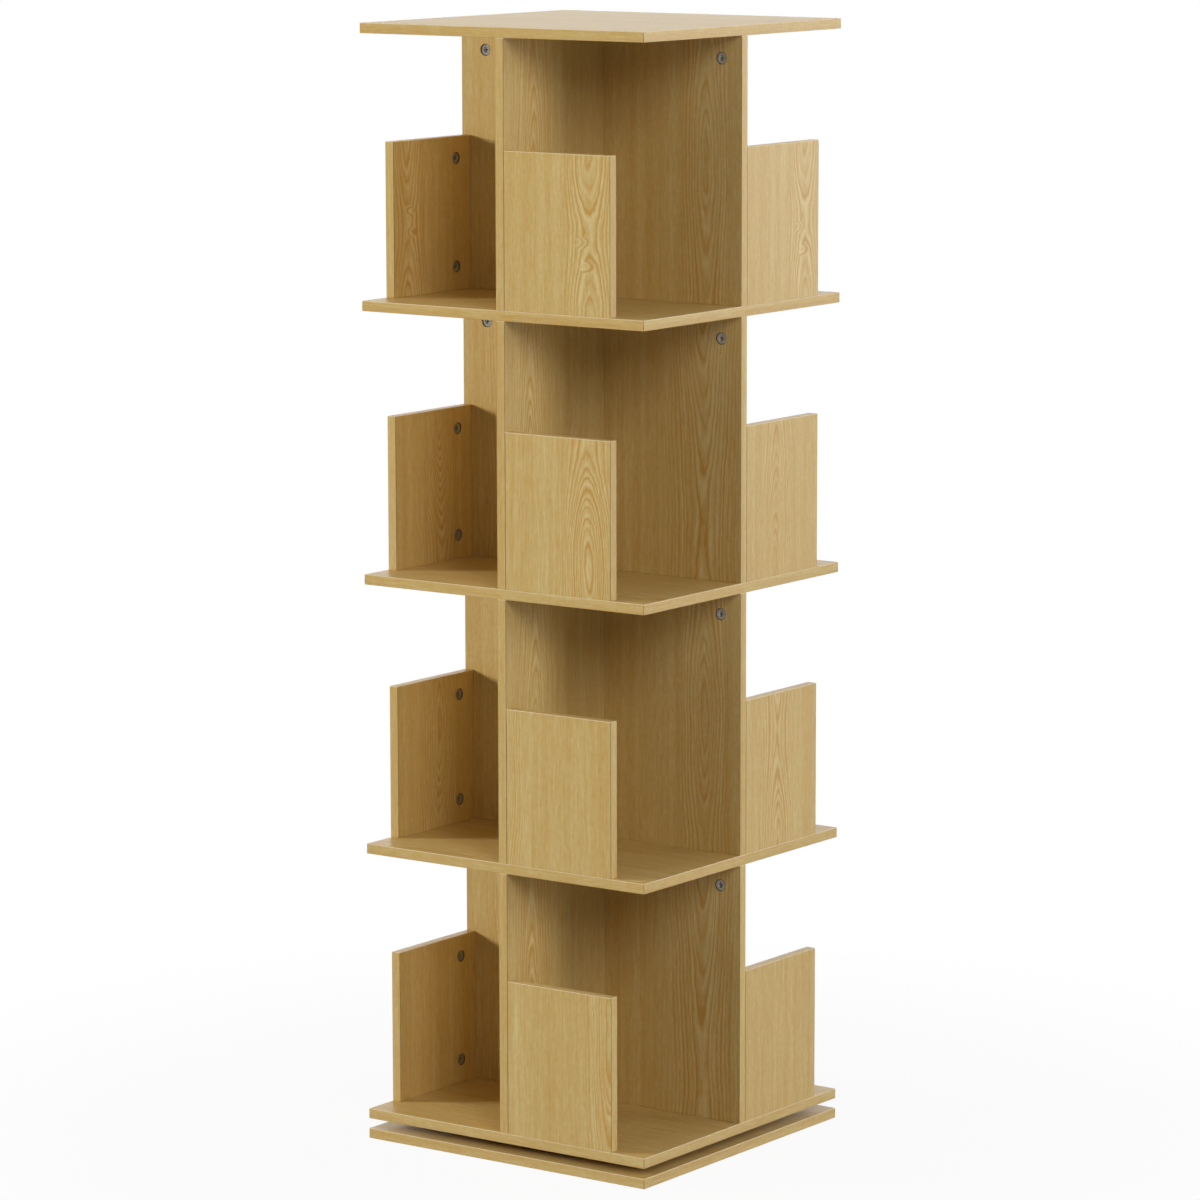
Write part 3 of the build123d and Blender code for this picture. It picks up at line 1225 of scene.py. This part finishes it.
@dataclass(frozen=True)
class Lamp:
    """A large soft lamp that looks at the middle of the bookcase, in degrees, metres and watts."""

    name: str
    azimuth: float
    elevation: float
    width: float
    height: float
    power: float
    distance: float = 9.0
    mirrored: bool = True

    def build(self, target: Vector) -> None:
        """Hang the lamp.

        Args:
            target: What it looks at.
        """
        light = bpy.data.lights.new(self.name, "AREA")
        light.shape = "RECTANGLE"
        light.size, light.size_y = self.width, self.height
        light.energy = self.power
        outward = bearing(math.radians(self.azimuth), math.radians(self.elevation))
        lamp = bpy.data.objects.new(self.name, light)
        lamp.location = target + outward * self.distance
        lamp.rotation_euler = (-outward).to_track_quat("-Z", "Y").to_euler()
        lamp.visible_glossy = self.mirrored
        bpy.context.scene.collection.objects.link(lamp)


@dataclass(frozen=True)
class Viewpoint:
    """A long lens that looks from the front right corner, a little above the middle."""

    location: tuple[float, float, float] = (3.55688, -4.95241, 1.59863)
    yaw: float = math.radians(125.721)
    pitch: float = math.radians(-8.936)
    roll: float = math.radians(-0.1055)
    focal_length: float = 157.02
    sensor_width: float = 36.0

    def build(self) -> None:
        """Place the camera."""
        forward = bearing(self.yaw, self.pitch)
        level = Vector((math.sin(self.yaw), -math.cos(self.yaw), 0))
        above = level.cross(forward)
        right = math.cos(self.roll) * level + math.sin(self.roll) * above
        up = math.cos(self.roll) * above - math.sin(self.roll) * level
        lens = bpy.data.cameras.new("camera")
        lens.sensor_width, lens.lens = self.sensor_width, self.focal_length
        camera = bpy.data.objects.new("camera", lens)
        turn = Matrix((right, up, -forward)).transposed().to_4x4()
        camera.matrix_world = Matrix.Translation(self.location) @ turn
        bpy.context.scene.collection.objects.link(camera)
        bpy.context.scene.camera = camera


@dataclass
class Studio:
    """Pale floor, white surroundings, soft lamps and the camera."""

    ambient: float = 0.008
    floor_paint: Colour = srgb(178, 177, 175)
    floor_side: float = 120.0
    floor_drop: float = 0.1 * MM
    floor_thickness: float = 50.0 * MM
    shadow_share: float = 0.06
    shadow_reach: Pair = (0.3, 1.2)
    viewpoint: Viewpoint = Viewpoint()
    target_height: float = 0.66
    lamps: tuple[Lamp, ...] = (
        Lamp("left_key", azimuth=213, elevation=13, width=2, height=1.6, power=745, mirrored=False),
        Lamp("front_key", azimuth=326, elevation=28, width=2.6, height=3.9, power=231),
        Lamp("front_fill", azimuth=312, elevation=26, width=4.6, height=4.0, power=76),
        Lamp("right_key", azimuth=27, elevation=10, width=2.2, height=3.4, power=212),
        Lamp("right_fill", azimuth=38, elevation=6, width=2.4, height=2.2, power=84),
        Lamp("back_wall", azimuth=75, elevation=8, width=3.6, height=3.0, power=335),
        Lamp("top_sheen", azimuth=122, elevation=8, width=3.6, height=3.0, power=48),
        Lamp("overhead", azimuth=300, elevation=80, width=3.0, height=3.0, power=90),
    )

    def build(self) -> None:
        """Set up the studio."""
        bpy.context.scene.view_settings.view_transform = "Standard"
        self._surroundings()
        self._floor()
        for lamp in self.lamps:
            lamp.build(Vector((0, 0, self.target_height)))
        self.viewpoint.build()

    def _surroundings(self) -> None:
        """A world that looks white and adds a little light from everywhere."""
        world = bpy.data.worlds.new("white_studio")
        bpy.context.scene.world = world
        bench = Bench(world)
        strength = bench.beheld().pick(1.0, self.ambient)
        light = bench.node("ShaderNodeBackground", inputs={"Color": WHITE, "Strength": strength})
        bench.node("ShaderNodeOutputWorld", inputs={"Surface": light.outputs[0]})

    def _floor(self) -> None:
        """A pale floor that fades into the white round the bookcase's soft shadow."""
        maker = Maker()
        half = self.floor_side / 2
        outline = [(-half, -half), (half, -half), (half, half), (-half, half)]
        bottom = -self.floor_drop - self.floor_thickness
        maker.prism(outline, bottom, -self.floor_drop, Matrix.Identity(4))
        bench = Bench(bpy.data.materials.new("pale_floor"))
        x, y, _ = bench.place()
        near, far = self.shadow_reach
        shadow = (1 - (x * x + y * y).root().ease(near, far)) * self.shadow_share
        paint = bench.node("ShaderNodeBsdfDiffuse", inputs={"Color": self.floor_paint})
        glow = bench.node("ShaderNodeEmission", inputs={"Color": WHITE, "Strength": 1.0})
        inputs = {0: bench.beheld() * (1 - shadow), 1: paint.outputs[0], 2: glow.outputs[0]}
        mixed = bench.node("ShaderNodeMixShader", inputs=inputs)
        bench.node("ShaderNodeOutputMaterial", inputs={"Surface": mixed.outputs[0]})
        maker.finish("floor", bench.owner)


# The figures of the upright boards


def crossing(number: int, above: float) -> dict[str, Figure]:
    """The figures of a tier's two dividers, which alternate from tier to tier.

    Args:
        number: The tier's number, counted from the bottom.
        above: Height of the board above it in mm.

    Returns:
        The figures of the board across and the deep one.
    """
    if number % 2:
        across = Figure(147, above + 98, 700, 32, 5.8, waist=34, width=38, tip=12)
        return {"across": across, "deep": Figure(-152, above - 230, 500, 26, 6.6, waist=18)}
    across = Figure(150, above - 150, 330, 18, 4.4, waist=20)
    return {"across": across, "deep": Figure(-143, above - 200, 420, 24, 5.2, waist=20)}


def tier_figures() -> dict[int, TierFigures]:
    """The figures of every tier.

    Returns:
        The figures by the tier's number, counted from the bottom.
    """
    pitch, first, panel_height, clear_height = 321.0, 36.0, 182, 309
    floors = {number: first + (number - 1) * pitch for number in (1, 2, 3, 4)}
    top = {number: floor + panel_height for number, floor in floors.items()}
    dividers = {number: crossing(number, floor + clear_height) for number, floor in floors.items()}
    spots = ((114, top[4] - 99), (123, top[4] - 127))
    left_spots = ((-123, top[4] - 82), (-120, top[4] - 108))
    knotty = Figure(126, top[4] + 4, 185, 17, 1.3, wild=1.2, tip=18, knots=spots)
    return {
        4: TierFigures(
            front=knotty,
            right=knotty,
            back=Figure(-40, top[4] - 60, 240, 20, 3.9),
            left=Figure(-128, top[4] + 4, 205, 17, 6.1, wild=1.2, tip=16, knots=left_spots),
            **dividers[4],
        ),
        3: TierFigures(
            front=Figure(123, top[3] - 148, 300, 48, 2.7, tip=14),
            right=Figure(66, top[3] - 195, 420, 44, 2.2, strength=0.8, tip=10),
            back=Figure(-100, top[3] - 20, 500, 40, 4.6),
            left=Figure(-67, top[3] + 10, 400, 56, 7.3, tip=11),
            **dividers[3],
        ),
        2: TierFigures(
            front=Figure(-4, top[2] - 60, 500, 30, 3.6, strength=0.6),
            right=Figure(72, top[2] - 195, 300, 26, 3.1),
            back=Figure(-60, top[2] - 120, 420, 34, 5.5),
            left=Figure(-74, top[2] - 60, 330, 34, 8.2),
            **dividers[2],
        ),
        1: TierFigures(
            front=Figure(152, top[1] - 40, 380, 26, 4.9, wild=1.2, strength=0.8),
            right=Figure(-80, top[1], 500, 30, 4.1, strength=0.5),
            back=Figure(-90, top[1] - 80, 300, 24, 6.4),
            left=Figure(-260, top[1], 500, 30, 9.5, strength=0.5),
            **dividers[1],
        ),
    }


def main() -> None:
    """Build the studio and dress the bookcase from the floor up."""
    logging.basicConfig(level=logging.INFO, format="%(message)s")
    Studio().build()
    joinery = Joinery()
    Turntable(joinery).build()
    for number, figures in sorted(tier_figures().items()):
        Tier(number, figures, joinery).build()
    TopBoard(joinery).build()


if __name__ == "__main__":
    main()
